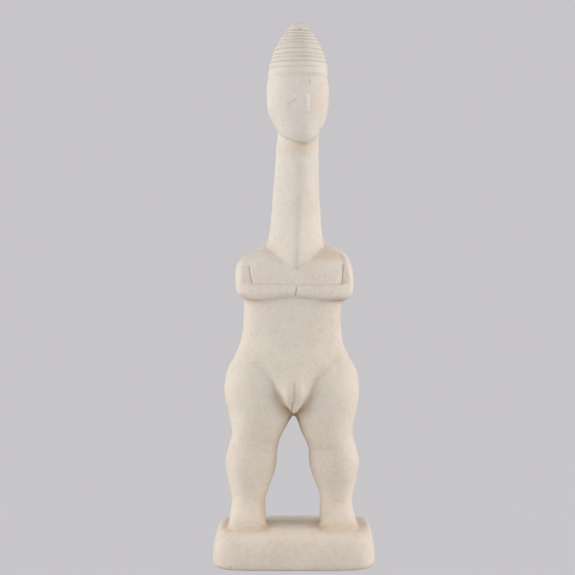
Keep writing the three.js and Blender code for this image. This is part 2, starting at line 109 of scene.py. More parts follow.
TRUNK = (
    (124.2, -1.4, 1.8, 0.2, -19.5, 10.0, 2.0, 2.0),
    (126.4, -4.4, 5.2, 0.2, -22.8, 16.0, 2.2, 2.0),
    (131.0, -8.8, 9.8, 0.2, -24.6, 19.0, 2.4, 2.0),
    (139.0, -15.4, 16.0, 0.2, -25.6, 20.5, 2.5, 2.0),
    (151.5, -26.2, 25.2, -0.2, -24.9, 21.2, 2.6, 2.1),
    (158.0, -33.5, 32.8, -0.4, -23.9, 21.2, 2.6, 2.2),
    (164.0, -42.8, 42.0, -0.6, -22.8, 20.9, 2.6, 2.2),
    (171.0, -46.6, 43.3, -0.8, -21.3, 20.0, 2.5, 2.3),
    (179.0, -44.1, 40.2, -0.8, -19.9, 18.8, 2.2, 2.4),
    (190.0, -41.7, 38.6, -0.8, -18.6, 17.2, 2.2, 2.4),
    (202.0, -41.0, 38.2, -0.6, -17.8, 16.4, 2.2, 2.4),
    (211.0, -40.6, 39.0, -0.2, -17.7, 16.8, 2.3, 2.5),
    (216.5, -40.5, 41.2, 0.1, -17.9, 17.4, 2.7, 2.6),
    (222.0, -43.9, 45.3, 0.4, -18.2, 18.0, 2.9, 2.7),
    (229.0, -46.1, 47.4, 0.8, -18.4, 18.8, 3.0, 2.7),
    (236.0, -46.2, 47.2, 0.8, -17.9, 18.8, 3.0, 2.6),
    (242.0, -45.5, 45.9, 0.8, -16.9, 18.6, 3.0, 2.6),
    (247.6, -42.3, 43.9, 0.8, -14.6, 18.0, 2.9, 2.5),
    (251.0, -38.3, 42.3, 1.0, -12.0, 17.2, 2.8, 2.5),
    (254.2, -33.7, 39.4, 1.2, -9.2, 16.2, 2.6, 2.4),
    (257.4, -28.6, 34.9, 1.6, -6.2, 15.0, 2.4, 2.3),
    (260.8, -23.0, 27.9, 2.0, -3.0, 13.4, 2.2, 2.2),
    (264.0, -19.7, 23.7, 2.4, 0.6, 10.0, 2.0, 2.0),
    (266.5, -16.4, 20.0, 2.4, 3.4, 6.0, 2.0, 2.0),
)
RIGHT_UPPER_ARM = (
    (215.2, -39.8, -34.6, -38.2, -6.0, 5.0, 2.0, 2.0),
    (217.2, -43.1, -33.4, -39.0, -10.6, 8.6, 2.1, 2.0),
    (221.5, -46.5, -33.0, -40.0, -13.6, 11.4, 2.2, 2.0),
    (229.0, -47.3, -34.0, -40.8, -14.4, 12.8, 2.2, 2.0),
    (238.0, -47.2, -35.0, -40.6, -13.2, 12.6, 2.1, 2.0),
    (244.3, -45.9, -35.0, -40.0, -11.4, 12.0, 2.0, 2.0),
    (248.0, -42.1, -35.0, -38.4, -8.4, 10.0, 2.0, 2.0),
    (250.4, -38.3, -34.0, -36.4, -5.0, 8.0, 2.0, 2.0),
)
LEFT_UPPER_ARM = (
    (214.8, 36.4, 42.0, 39.4, -6.0, 5.0, 2.0, 2.0),
    (217.4, 36.4, 46.4, 41.4, -10.6, 8.6, 2.1, 2.0),
    (221.5, 37.0, 47.7, 42.6, -13.4, 11.4, 2.2, 2.0),
    (231.0, 38.4, 48.6, 44.0, -14.0, 12.8, 2.2, 2.0),
    (239.0, 39.0, 47.4, 43.4, -12.8, 12.6, 2.1, 2.0),
    (246.0, 39.0, 45.4, 42.4, -10.4, 12.0, 2.0, 2.0),
    (250.4, 38.0, 42.1, 41.0, -7.4, 10.0, 2.0, 2.0),
    (252.4, 37.0, 39.6, 38.4, -4.0, 8.0, 2.0, 2.0),
)
FOREARMS = (
    (215.2, -38.0, 40.4, 0.4, -17.0, 0.0, 2.6, 2.5),
    (216.2, -40.1, 42.6, 0.4, -18.9, 2.0, 2.7, 2.5),
    (218.0, -42.6, 45.2, 0.5, -20.2, 4.0, 2.8, 2.5),
    (221.0, -44.9, 47.1, 0.6, -20.8, 5.0, 2.9, 2.5),
    (225.5, -45.7, 47.5, 0.7, -20.4, 5.0, 2.9, 2.5),
    (228.2, -45.1, 46.7, 0.8, -19.5, 4.0, 2.9, 2.5),
    (229.4, -43.3, 44.8, 0.8, -18.2, 2.0, 2.9, 2.5),
)
RIGHT_LEG = (
    (24.0, -53.0, -22.5, -38.0, -28.0, 17.0, 3.3, 2.3),
    (30.6, -53.0, -22.5, -38.0, -27.9, 17.0, 3.3, 2.3),
    (33.4, -52.9, -22.6, -38.0, -27.2, 16.9, 2.9, 2.3),
    (35.8, -52.7, -22.7, -38.0, -25.4, 16.7, 2.4, 2.3),
    (38.2, -52.5, -22.9, -37.9, -22.0, 16.5, 2.2, 2.3),
    (41.5, -51.9, -23.2, -37.6, -18.2, 16.2, 2.2, 2.3),
    (46.0, -51.2, -23.4, -37.4, -15.6, 15.6, 2.1, 2.3),
    (51.0, -50.6, -23.6, -37.3, -14.2, 15.2, 2.1, 2.2),
    (57.5, -51.7, -21.6, -37.0, -14.4, 16.2, 2.1, 2.2),
    (64.5, -53.5, -19.2, -36.2, -15.2, 17.8, 2.1, 2.1),
    (73.5, -55.1, -15.9, -35.2, -16.8, 20.2, 2.1, 2.0),
    (82.0, -56.0, -14.1, -34.4, -17.6, 21.2, 2.1, 2.0),
    (91.0, -54.3, -13.5, -33.4, -18.0, 20.0, 2.1, 2.0),
    (98.5, -52.5, -12.2, -32.0, -18.6, 18.0, 2.1, 2.0),
    (106.0, -50.7, -9.2, -30.4, -19.4, 17.4, 2.1, 2.0),
    (112.5, -51.3, -5.6, -29.2, -20.2, 18.8, 2.1, 2.0),
    (119.0, -52.8, -2.4, -28.6, -21.0, 21.4, 2.1, 2.1),
    (125.0, -54.0, -0.8, -28.4, -21.7, 23.4, 2.1, 2.1),
    (132.0, -55.7, 1.4, -28.4, -22.3, 24.8, 2.1, 2.1),
    (141.0, -56.8, 2.0, -28.4, -22.6, 25.4, 2.1, 2.1),
    (150.0, -56.0, 1.6, -28.0, -22.2, 24.4, 2.1, 2.1),
    (160.0, -53.5, 0.0, -27.8, -20.8, 21.6, 2.1, 2.1),
    (168.0, -49.1, -3.0, -27.6, -18.6, 18.4, 2.1, 2.1),
    (176.0, -42.5, -8.0, -27.0, -15.2, 15.0, 2.1, 2.1),
    (184.0, -36.3, -16.0, -26.4, -10.0, 10.6, 2.1, 2.1),
    (190.0, -30.5, -20.0, -25.8, -4.0, 5.6, 2.1, 2.1),
)
LEFT_LEG = (
    (24.0, 21.2, 51.8, 39.6, -30.2, 17.0, 3.3, 2.3),
    (30.0, 21.2, 51.8, 39.6, -30.0, 17.0, 3.3, 2.3),
    (32.6, 21.4, 51.7, 39.4, -29.2, 16.9, 2.9, 2.3),
    (35.0, 21.6, 51.1, 39.0, -27.0, 16.7, 2.4, 2.3),
    (37.6, 21.5, 50.3, 38.4, -22.9, 16.6, 2.2, 2.3),
    (41.5, 21.4, 49.1, 37.6, -18.2, 16.2, 2.2, 2.3),
    (46.0, 21.3, 48.2, 36.8, -15.6, 15.6, 2.1, 2.3),
    (51.0, 21.6, 47.7, 36.4, -14.2, 15.2, 2.1, 2.2),
    (57.5, 20.9, 48.6, 36.4, -14.4, 16.2, 2.1, 2.2),
    (64.5, 18.0, 50.6, 35.8, -15.2, 17.8, 2.1, 2.1),
    (73.5, 14.5, 52.5, 35.2, -16.8, 20.2, 2.1, 2.0),
    (82.5, 12.6, 53.8, 34.6, -17.6, 21.2, 2.1, 2.0),
    (91.0, 12.4, 51.8, 33.6, -18.0, 20.0, 2.1, 2.0),
    (98.5, 10.4, 50.1, 31.8, -18.6, 18.0, 2.1, 2.0),
    (107.0, 6.3, 48.0, 29.6, -19.4, 17.4, 2.1, 2.0),
    (112.5, 4.4, 48.7, 28.6, -20.2, 18.8, 2.1, 2.0),
    (119.0, 2.3, 50.2, 27.6, -21.0, 21.4, 2.1, 2.1),
    (125.0, 0.5, 51.3, 27.2, -21.7, 23.4, 2.1, 2.1),
    (132.0, -1.8, 52.5, 26.8, -22.3, 24.8, 2.1, 2.1),
    (141.0, -2.6, 53.5, 26.6, -22.6, 25.4, 2.1, 2.1),
    (150.0, -2.2, 52.9, 26.2, -22.2, 24.4, 2.1, 2.1),
    (160.0, -0.6, 50.3, 26.0, -20.8, 21.6, 2.1, 2.1),
    (168.0, 2.4, 45.5, 25.8, -18.6, 18.4, 2.1, 2.1),
    (176.0, 7.4, 39.1, 25.2, -15.2, 15.0, 2.1, 2.1),
    (184.0, 15.4, 33.8, 24.6, -10.0, 10.6, 2.1, 2.1),
    (190.0, 19.4, 28.3, 24.4, -4.0, 5.6, 2.1, 2.1),
)
BLOCK = (
    (0.0, -62.4, 62.4, 0.0, -38.0, 38.0, 4.8, 6.5),
    (1.4, -64.6, 64.6, 0.0, -39.4, 39.4, 4.8, 6.5),
    (5.0, -66.0, 66.0, 0.0, -40.0, 40.0, 4.8, 6.5),
    (11.0, -65.7, 65.7, 0.0, -39.9, 39.9, 4.8, 6.5),
    (18.0, -64.8, 64.8, 0.0, -39.1, 39.5, 4.8, 6.5),
    (22.5, -63.7, 64.2, 0.0, -38.0, 39.1, 4.8, 6.5),
    (26.0, -62.5, 63.3, 0.0, -36.0, 38.6, 4.8, 6.5),
    (28.6, -61.0, 62.3, 0.0, -33.2, 38.1, 4.8, 6.5),
    (30.2, -59.2, 60.9, 0.0, -29.6, 37.4, 4.8, 6.5),
    (31.0, -56.4, 58.6, 0.0, -23.0, 35.6, 4.8, 6.5),
)

CAP_GROOVES = (403.1, 407.5, 410.9, 414.0, 418.0, 420.9, 422.9, 425.6, 428.3, 430.9, 433.6)
FAINT_GROOVES = (403.1, 420.9)  # these two are worn almost away
FAINT = 0.5
GROOVE_HALF_WIDTH = 0.62
# How dark the cap's grooves are painted: painted shade in them.
PAINTED_GROOVE_SHADE = 0.75
FEELERS = 12  # lines felt out from each point of the surface to find its folds
FEELER_REACH = 34.0
GOLDEN_ANGLE = math.pi * (3 - math.sqrt(5))  # turns that spread the feelers evenly
ELBOW_SAG = (2.6, 27.0)  # how far the forearms' lower edge sags, and how far out it is deepest
OUTER_SAG = (2.2, -30.0, 9.0)  # how far it rises again by the right elbow, from where, over what
# Warmer towards the foot of the block, and over the toes.
WARMTH_LOW_ON_BLOCK = (0.06, 12.0)  # how warm, and up to what height
WARMTH_OVER_TOES = (0.16, 33.0, 5.0, 37.0, 18.0)  # how warm, up, half height, across, half width

# Incised lines: points across and up, half width and depth, in mm, and how dark the line is
# painted (0 to 1): painted shade in the cut.
INCISED_IN_FRONT = {
    "right upper arm": (((-35.9, 243.0), (-35.0, 236.0), (-33.7, 229.5)), 0.6, 0.7, 0.8),
    "left upper arm": (((39.5, 243.8), (39.2, 236.0), (38.6, 228.8)), 0.6, 0.7, 0.8),
    "top of the forearms": (((-33.7, 228.4), (-15.0, 228.4), (2.0, 227.8), (38.7, 228.3)), 0.8, 0.3, 0.3),
    "between the hands": (((2.0, 226.4), (1.9, 223.4), (0.8, 219.6)), 0.6, 0.9, 0.9),
    "jaw": (((-13.4, 349.8), (-6.7, 345.4), (-2.7, 343.6), (7.7, 341.6), (12.5, 343.2), (20.8, 349.6)),
            1.2, 0.25, 0.12),
    "right groin, upper": (((-31.5, 164.5), (-25.2, 158.1), (-18.8, 151.3)), 2.4, 0.4, 0.12),
    "right groin, lower": (((-18.8, 151.3), (-10.9, 138.8), (-3.4, 127.6)), 2.0, 0.5, 0.12),
    "left groin, upper": (((35.4, 168.8), (25.5, 158.8), (17.6, 150.9)), 2.4, 0.5, 0.16),
    "left groin, lower": (((17.6, 150.9), (11.6, 139.6), (4.2, 127.6)), 2.0, 0.4, 0.08),
    "slit, upper": (((0.4, 148.5), (0.5, 141.0), (-0.2, 133.0)), 1.2, 0.7, 0.35),
    "slit, lower": (((-0.9, 133.4), (-1.1, 126.2)), 0.7, 1.3, 0.8),
    "scratch, deep end": (((-1.6, 374.8), (1.8, 376.6)), 0.45, 0.5, 0.8),
    "scratch, faint end": (((-4.8, 372.6), (-1.6, 374.4)), 0.45, 0.3, 0.45),
    "nick on the brow": (((12.4, 391.8), (12.0, 389.6)), 0.5, 0.5, 0.7),
    "flat down the neck, upper": (((5.8, 339.0), (4.6, 300.0)), 3.4, 0.45, 0.09),
    "flat down the neck, lower": (((4.6, 300.0), (2.4, 247.0)), 1.9, 0.35, 0.09),
    "left knee": (((17.5, 95.4), (25.6, 94.4), (34.5, 96.4)), 2.6, 0.35, 0.12),
    "right knee": (((-24.5, 100.6), (-17.0, 99.6)), 2.4, 0.3, 0.12),
    "right toes": (((-50.6, 32.4), (-44.6, 36.2), (-37.2, 37.8), (-30.0, 36.0), (-24.4, 32.4)),
                   0.8, 0.35, 0.1),
    "left toes": (((22.4, 31.6), (28.8, 34.6), (35.8, 36.0), (42.4, 34.6), (48.6, 31.2)),
                  0.8, 0.35, 0.1),
}
INCISED_BEHIND = {
    "spine": (((2.0, 250.0), (0.6, 214.0), (-0.6, 172.0)), 2.4, 0.7, 0.06),
    "right upper arm": (((-36.6, 243.0), (-36.0, 232.0), (-35.2, 224.0)), 0.9, 0.5, 0.25),
    "left upper arm": (((40.0, 243.0), (39.2, 232.0), (38.4, 224.0)), 0.9, 0.5, 0.25),
}
RIM_GROOVE = (395.8, 1.9, 0.35)  # up, half width, depth of the worn line under the cap's rim
# Painted shadow under the cap's rim.
PAINTED_RIM_SHADOW = 0.12
# Soft swellings and hollows on the front: across, up, half width, half height, proud.
SWELLINGS = {
    "the pubis": (0.2, 147.0, 9.0, 12.0, 1.5),
    "right of the slit": (-5.0, 139.4, 3.2, 7.5, 1.8),
    "left of the slit": (4.8, 141.6, 3.0, 7.0, 1.5),
    "hollow of the belly": (-3.0, 200.0, 20.0, 10.0, -0.5),
    "hollow of the left hip": (34.3, 162.6, 4.5, 4.5, -0.9),
    "bump over the left knee": (29.6, 98.6, 3.2, 2.0, 0.5),
}
NOSE = (10.9, 365.4, 381.2, 1.0, 1.15)  # across, bottom, top, half width, proud
# Single pits in the stone on the front: across, up, radius.
PITS = (
    (-49.9, 6.4, 0.9), (-49.9, 2.6, 0.8), (6.1, 7.2, 0.9), (-11.5, 157.4, 0.7), (11.4, 157.0, 0.7),
    (34.4, 159.5, 0.7), (-37.4, 180.9, 0.8), (-7.9, 355.0, 0.9),
)
# Warm marks on the front: across, up, half width, half height, how warm. Most are painted shade:
# under the chin and the elbows, inside the knees and the right leg, and on the lit left cheek. The
# one below 0 is a painted lift of light where the pubis bulges towards the lamps. The marks by the
# neck on the shoulders, on the left side of the belly and over the toes make the stone warmer there.
WARM_MARKS_AND_PAINTED_SHADE = {
    # painted shade on the lit left side of the face
    "left cheek": (21.0, 375.0, 9.0, 24.0, 0.15),
    # painted shadow under the chin
    "under the chin": (4.0, 338.0, 16.0, 7.0, 0.16),
    "right shoulder by the neck": (-24.0, 256.0, 7.0, 6.0, 0.12),
    "left shoulder by the neck": (33.0, 252.0, 12.0, 6.0, 0.2),
    "left side of the belly": (37.0, 196.0, 7.0, 22.0, 0.06),
    # painted shadow under the elbows
    "under the right elbow": (-34.0, 215.0, 7.0, 2.6, 0.16),
    "under the left elbow": (36.0, 215.5, 6.0, 2.6, 0.16),
    # painted light: a lift where the pubis bulges towards the lamps
    "over the pubis": (0.0, 148.0, 14.0, 14.0, -0.12),
    # painted shade inside the legs, where the other leg keeps the side lamps off
    "inside the right knee": (-11.5, 97.0, 5.0, 12.0, 0.1),
    "inside the right calf": (-17.0, 76.0, 7.0, 14.0, 0.13),
    "inside the right ankle": (-25.0, 48.0, 5.0, 12.0, 0.08),
    "inside the left knee": (9.0, 98.0, 4.0, 10.0, 0.06),
    "right toes": (-37.0, 32.0, 14.0, 4.0, 0.05),
    "left toes": (38.0, 32.0, 14.0, 4.0, 0.13),
}
CHIP_AT_TIP = (7.6, -3.5, 437.6, 3.4, 0.9)  # across, deep, up, radius, depth


def linear(hex_colour):
    """Linear red, green and blue of an sRGB hex colour."""
    channels = [int(hex_colour[i:i + 2], 16) / 255 for i in (1, 3, 5)]
    return [c / 12.92 if c <= 0.04045 else ((c + 0.055) / 1.055) ** 2.4 for c in channels]


class FigurineSizes(bpy.types.PropertyGroup):
    """Sizes of the carving that a user would change."""

    fineness: bpy.props.FloatProperty(
        name="Fineness", description="Size of the carved surface's facets against the standard ones",
        default=1.0, min=0.8, max=4.0)
    groove_depth: bpy.props.FloatProperty(
        name="Cap groove depth", description="Depth of the grooves between the cap's rings, in mm",
        default=0.75, min=0.0, max=2.0)
    line_depth: bpy.props.FloatProperty(
        name="Line depth", description="Depth of the incised lines against the standard ones",
        default=1.0, min=0.0, max=2.0)
    unevenness: bpy.props.FloatProperty(
        name="Unevenness", description="How far the rubbed surface wanders from true, in mm",
        default=0.35, min=0.0, max=2.0)
    pits: bpy.props.IntProperty(
        name="Pits", description="Number of small pits scattered over the stone",
        default=60, min=0, max=1000)


class StoneColours(bpy.types.PropertyGroup):
    """Colours of the stone."""

    stone: bpy.props.FloatVectorProperty(
        name="Stone", description="Colour of the rubbed limestone", subtype="COLOR", size=3,
        default=linear("#D5CCC3"), min=0.0, max=1.0)
    pale: bpy.props.FloatVectorProperty(
        name="Pale grain", description="Colour of the palest grains", subtype="COLOR", size=3,
        default=linear("#E4DED7"), min=0.0, max=1.0)
    # Also the colour of the painted shade in the cap's grooves, under its rim and in the incised lines.
    speck: bpy.props.FloatVectorProperty(
        name="Dark speck", description="Colour of the dark specks", subtype="COLOR", size=3,
        default=linear("#8E7F6C"), min=0.0, max=1.0)
    # Painted shade: this warm colour is multiplied into the stone where stone closes round it, in creases
    # and under overhangs, and into the warm marks.
    shade_and_warm_mark_tint: bpy.props.FloatVectorProperty(
        name="Recess tint", description="Warm colour of the dust in the recesses", subtype="COLOR", size=3,
        default=linear("#E6C79D"), min=0.0, max=1.0)
    wash: bpy.props.FloatVectorProperty(
        name="Warm wash", description="Faint warm stain that deepens towards the block",
        subtype="COLOR", size=3, default=linear("#FFFBF5"), min=0.0, max=1.0)


class StageLook(bpy.types.PropertyGroup):
    """Backdrop and lights."""

    backdrop: bpy.props.FloatVectorProperty(
        name="Backdrop", description="Colour of the floor and backdrop", subtype="COLOR", size=3,
        default=linear("#C7C5C8"), min=0.0, max=1.0)
    side_power: bpy.props.FloatProperty(
        name="Side lights", description="Power of each of the two side lights",
        subtype="POWER", unit="POWER", default=13.8, min=0.0)
    ambient: bpy.props.FloatProperty(
        name="Ambient", description="Strength of the even light from all round", default=0.32, min=0.0)
    top_power: bpy.props.FloatProperty(
        name="Top light", description="Power of the soft light overhead", subtype="POWER", unit="POWER",
        default=1.1, min=0.0)
    back_power: bpy.props.FloatProperty(
        name="Back light", description="Power of the soft light behind", subtype="POWER", unit="POWER",
        default=6.0, min=0.0)
    front_power: bpy.props.FloatProperty(
        name="Front light", description="Power of the large soft light in front",
        subtype="POWER", unit="POWER", default=10.3, min=0.0)


# The stage: the lights' colours in linear red, green and blue, the point they are turned to, in
# metres, and the lens. Each light's place and size are in metres too.
PLAIN_WHITE = (1.0, 1.0, 1.0)
SOFT_WHITE = (1.0, 0.985, 0.95)
CREAM_WHITE = (1.0, 0.97, 0.93)
WARM_WHITE = (1.0, 0.96, 0.9)
LIT_POINT = (0.0, 0.0, 0.22)  # half way up the figure
LENS = (101.4, 36.0)  # focal length and sensor width, in mm
LENS_PLACE = (-5.1, -1320.0, 286.0)  # across, deep and up, in mm
LENS_TILT = 2.64  # degrees below level
BACKDROP_GLOW = 0.993  # the paper's even light; the rest of its tone is the figure's faint shade
BACKDROP_SHADE = 0.015


class Body:
    """One rounded body of the figure, lofted through its stations."""

    def __init__(self, stations):
        table = np.array(stations, dtype=np.float64)
        self.heights, self.values = table[:, 0], table[:, 1:]
        gaps = np.diff(self.heights)[:, None]
        rises = np.diff(self.values, axis=0) / gaps
        slopes = np.empty_like(self.values)
        slopes[0], slopes[-1] = rises[0], rises[-1]
        before, after = rises[:-1], rises[1:]
        weight_b, weight_a = 2 * gaps[1:] + gaps[:-1], gaps[1:] + 2 * gaps[:-1]
        same_way = before * after > 0
        shared = weight_b / np.where(same_way, before, 1) + weight_a / np.where(same_way, after, 1)
        slopes[1:-1] = np.where(same_way, (weight_b + weight_a) / shared, 0)
        self.slopes = slopes

    def section(self, z):
        """The section's seven measures at each height, without overshooting the stations."""
        z = np.clip(z, self.heights[0], self.heights[-1])
        k = np.clip(np.searchsorted(self.heights, z) - 1, 0, len(self.heights) - 2)
        span = self.heights[k + 1] - self.heights[k]
        t = ((z - self.heights[k]) / span)[..., None]
        start, end = self.values[k], self.values[k + 1]
        bend = (1 - t) * self.slopes[k] - t * self.slopes[k + 1]
        mixed = start * (1 + 2 * t) * (1 - t) ** 2 + end * t * t * (3 - 2 * t)
        return np.moveaxis(mixed + span[..., None] * t * (1 - t) * bend, -1, 0)

    def across(self, x, y, z):
        """About how far a point is outside the section at its own height, in mm."""
        left, right, crest, front, back, front_square, back_square = self.section(z)
        wide = np.where(x < crest, crest - left, right - crest)
        middle, deep = (front + back) / 2, (back - front) / 2
        square = np.where(y < middle, front_square, back_square)
        u, v = np.abs(x - crest) / wide, np.abs(y - middle) / deep
        reach = np.maximum((u ** square + v ** square) ** (1 / square), 1e-3)
        slope_x = (u / reach) ** (square - 1) / wide
        slope_y = (v / reach) ** (square - 1) / deep
        return (reach - 1) / np.maximum(np.hypot(slope_x, slope_y), 1e-3)

    def distance(self, x, y, z):
        """About how far a point is outside the body, in mm; less than 0 inside."""
        level = np.clip(z, self.heights[0], self.heights[-1])
        away = self.across(x, y, level)
        beside = np.where(2 * level < self.heights[0] + self.heights[-1], 0.5, -0.5)
        lean = 2 * (self.across(x, y, level + beside) - away)
        away = away / np.hypot(1, lean)
        return np.maximum(away, np.maximum(z - self.heights[-1], self.heights[0] - z))


class Forearms(Body):
    """The folded forearms: one band round the front whose lower edge sags under each arm."""

    def distance(self, x, y, z):
        top, bottom = self.heights[-1], self.heights[0]
        drop, furthest = ELBOW_SAG
        rise, start, width = OUTER_SAG
        sag = drop * np.sin(np.clip(np.abs(x) / furthest, 0, 1) * math.pi / 2) ** 2 - drop
        sag = sag - rise * np.clip((start - x) / width, 0, 1) ** 2
        return super().distance(x, y, z + sag * np.clip((top - z) / (top - bottom), 0, 1.3))


def blended(a, b, radius):
    """Union of two bodies with a fillet of about the radius where they meet."""
    overlap = np.maximum(radius - np.abs(a - b), 0) / radius
    return np.minimum(a, b) - overlap * overlap * radius / 4


# Bodies in the order they are joined, each with the fillets where it meets those before it, at the
# front and at the back.
UPPER_BODY = (
    (Body(TRUNK), 0.0, 0.0), (Body(RIGHT_UPPER_ARM), 2.5, 8.0), (Body(LEFT_UPPER_ARM), 2.5, 8.0),
    (Forearms(FOREARMS), 1.6, 4.0), (Body(NECK), 0.8, 9.0), (Body(HEAD), 1.2, 5.0), (Body(CAP), 2.6, 2.6))
LEGS = ((Body(RIGHT_LEG), 0.0, 0.0), (Body(LEFT_LEG), 8.0, 5.0))
GROIN_FILLET = (1.8, 11.0)
UNDERFOOT = Body(BLOCK)
FOOT_FILLET = (2.0, 3.0)
FILLET_CHANGE = 10.0  # depth over which a fillet turns from the front's to the back's
BODY_REACH = 12.0  # a body further than this above or below has no part in the surface


def fillet_at(y, front, back):
    """The fillet at a depth: the front's as far back as the middle, then turning to the back's."""
    return front + (back - front) * np.clip(y / FILLET_CHANGE, 0, 1)


def joined(bodies, x, y, z, low, high):
    """Distance to the union of the bodies that come near the heights from low to high."""
    total = None
    for body, front, back in bodies:
        if body.heights[0] - BODY_REACH > high or body.heights[-1] + BODY_REACH < low:
            continue
        away = body.distance(x, y, z)
        total = away if total is None else blended(total, away, fillet_at(y, front, back))
    return total


def figure_distance(x, y, z):
    """About how far a point is outside the smooth figure and its block, in mm."""
    low, high = float(np.min(z)), float(np.max(z))
    upper = joined(UPPER_BODY, x, y, z, low, high)
    legs = joined(LEGS, x, y, z, low, high)
    total = upper
    if legs is not None:
        total = legs if total is None else blended(total, legs, fillet_at(y, *GROIN_FILLET))
    if UNDERFOOT.heights[-1] + BODY_REACH > low:
        block = UNDERFOOT.distance(x, y, z)
        total = block if total is None else blended(total, block, fillet_at(y, *FOOT_FILLET))
    return total


def lattice(i, j, k, seed):
    """A fixed random number from -1 to 1 for each lattice point."""
    mixed = i * 374761393 + j * 668265263 + k * 2147483647 + seed * 974634777
    mixed = (mixed ^ (mixed >> 13)) * 1274126177 & 0xFFFFFFFF
    mixed = (mixed ^ (mixed >> 16)) * 2246822519 & 0xFFFFFFFF
    return (mixed ^ (mixed >> 15)) % 65536 / 32767.5 - 1


def waver(x, y, z, scale, seed):
    """Smooth random values from -1 to 1 that change over about the scale, in mm."""
    cells, parts = [], []
    for along in (x, y, z):
        cell = np.floor(along / scale).astype(np.int64)
        part = along / scale - cell
        cells.append(cell)
        parts.append(part ** 3 * (part * (part * 6 - 15) + 10))
    total = 0
    for di in (0, 1):
        for dj in (0, 1):
            for dk in (0, 1):
                weight = np.abs(1 - di - parts[0]) * np.abs(1 - dj - parts[1]) * np.abs(1 - dk - parts[2])
                total = total + weight * lattice(cells[0] + di, cells[1] + dj, cells[2] + dk, seed)
    return total


def line_gap(x, z, points):
    """Distance across the front from a line through the points."""
    nearest = np.full(np.shape(x), 1e3)
    for (x0, z0), (x1, z1) in zip(points[:-1], points[1:]):
        dx, dz = x1 - x0, z1 - z0
        t = np.clip(((x - x0) * dx + (z - z0) * dz) / (dx * dx + dz * dz), 0, 1)
        nearest = np.minimum(nearest, np.hypot(x - x0 - t * dx, z - z0 - t * dz))
    return nearest


def ring_grooves(x, y, z):
    """Share of the groove depth cut at a point of the cap by thin grooves that waver a little."""
    turn = np.arctan2(y, x - 4.0)
    level = z + 0.2 * np.sin(turn * 2 + z * 0.11) + 0.25 * waver(x, y, z, 9.0, 5)
    share = np.zeros(np.shape(z))
    for groove in CAP_GROOVES:
        worn = FAINT if groove in FAINT_GROOVES else 1.0
        share = np.maximum(share, worn * np.exp(-(((level - groove) / GROOVE_HALF_WIDTH) ** 2)))
    return share


def cuts(x, y, z, sizes):
    """Depth of the cap's grooves and of the incised lines, in mm, and how dark they are painted as shade.
    """
    up, half_width, depth = RIM_GROOVE
    rings = np.where(z > up + 2, ring_grooves(x, y, z), 0)
    deep = np.maximum(sizes.groove_depth * rings, depth * np.exp(-(((z - up) / half_width) ** 2)))
    dark = np.maximum(PAINTED_GROOVE_SHADE * rings, PAINTED_RIM_SHADOW * np.exp(-(((z - up) / half_width) ** 2)))
    for lines, side in ((INCISED_IN_FRONT, -1), (INCISED_BEHIND, 1)):
        facing = np.clip((side * y - 2) / 3, 0, 1)
        for points, half_width, depth, painted_shade in lines.values():
            line = facing * np.exp(-((line_gap(x, z, points) / half_width) ** 2))
            deep = np.maximum(deep, sizes.line_depth * depth * line)
            dark = np.maximum(dark, painted_shade * line)
    return deep, dark


def relief(x, y, z, sizes, pits):
    """How far the finished surface stands proud of the smooth figure, in mm."""
    proud = sizes.unevenness * (0.5 * waver(x, y, z, 26.0, 1) + 0.3 * waver(x, y, z, 11.0, 2))
    proud = proud + sizes.unevenness * 0.14 * waver(x, y, z, 4.5, 3)
    proud = proud - cuts(x, y, z, sizes)[0]
    facing = np.clip(-(y + 2) / 3, 0, 1)
    for across, up, half_width, half_height, height in SWELLINGS.values():
        spread = ((x - across) / half_width) ** 2 + ((z - up) / half_height) ** 2
        proud = proud + facing * height * np.exp(-spread)
    across, bottom, top, half_width, height = NOSE
    ends = np.clip((z - bottom) / 2, 0, 1) * np.clip((top - z) / 2, 0, 1)
    proud = proud + facing * height * ends * np.exp(-(((x - across) / half_width) ** 2))
    across, deep, up, radius, depth = CHIP_AT_TIP
    spread = ((x - across) ** 2 + (y - deep) ** 2 + (z - up) ** 2) / radius ** 2
    proud = proud - depth * np.exp(-spread)
    for px, py, pz, radius in pits:
        near = (x - px) ** 2 + (y - py) ** 2 + (z - pz) ** 2
        proud = proud - 0.75 * radius * np.exp(-near / radius ** 2)
    return proud


def carving_grid(fineness):
    """Heights, widths and depths of the cells the surface is found in: finer where detail is."""
    bands = ((-3.0, 28.0, 1.75), (28.0, 52.0, 1.1), (52.0, 116.0, 1.5), (116.0, 166.0, 1.15),
             (166.0, 212.0, 1.6), (212.0, 266.0, 1.05), (266.0, 338.0, 1.7), (338.0, 396.0, 1.05),
             (396.0, 443.0, 0.45))
    across_bands = ((-72.0, -26.0, 1.5), (-26.0, 31.0, 1.05), (31.0, 72.0, 1.5))
    deep_bands = ((-42.0, -14.0, 1.25), (-14.0, 42.0, 1.7))

    def ticks(bands):
        marks = [np.linspace(low, high, max(2, round((high - low) / (step * fineness))), endpoint=False)
                 for low, high, step in bands]
        return np.append(np.concatenate(marks), bands[-1][1])

    return ticks(across_bands), ticks(deep_bands), ticks(bands)


def sampled(xs, ys, zs):
    """The figure's distance at every grid point, worked out a few levels at a time."""
    values = np.empty((len(xs), len(ys), len(zs)), dtype=np.float32)
    for start in range(0, len(zs), 16):
        levels = zs[start:start + 16]
        values[:, :, start:start + 16] = figure_distance(
            xs[:, None, None], ys[None, :, None], levels[None, None, :])
    return values


